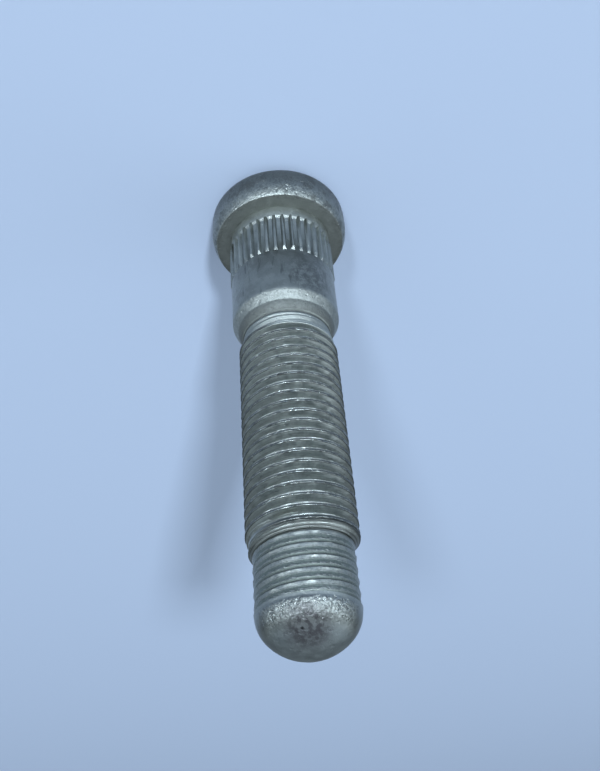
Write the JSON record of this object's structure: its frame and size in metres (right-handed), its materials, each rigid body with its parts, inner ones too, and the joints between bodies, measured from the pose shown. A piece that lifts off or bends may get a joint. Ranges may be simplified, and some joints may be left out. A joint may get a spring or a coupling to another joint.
{
  "type": "wheel stud",
  "caption": "Press-in wheel stud with a round head, a serrated and plain shank, a taper, a long rolled thread and a reduced pilot with a domed nose.",
  "frame": {"origin": "middle of the head's flat outer face, on which the stud stands", "axes": "+Z along the stud's axis, from the head to the domed nose"},
  "size_m": [0.0216, 0.0214, 0.0732],
  "materials": {
    "zinc_steel": "satin"
  },
  "bodies": {
    "root": {"wheel_stud": "zinc_steel"}
  },
  "joints": []
}
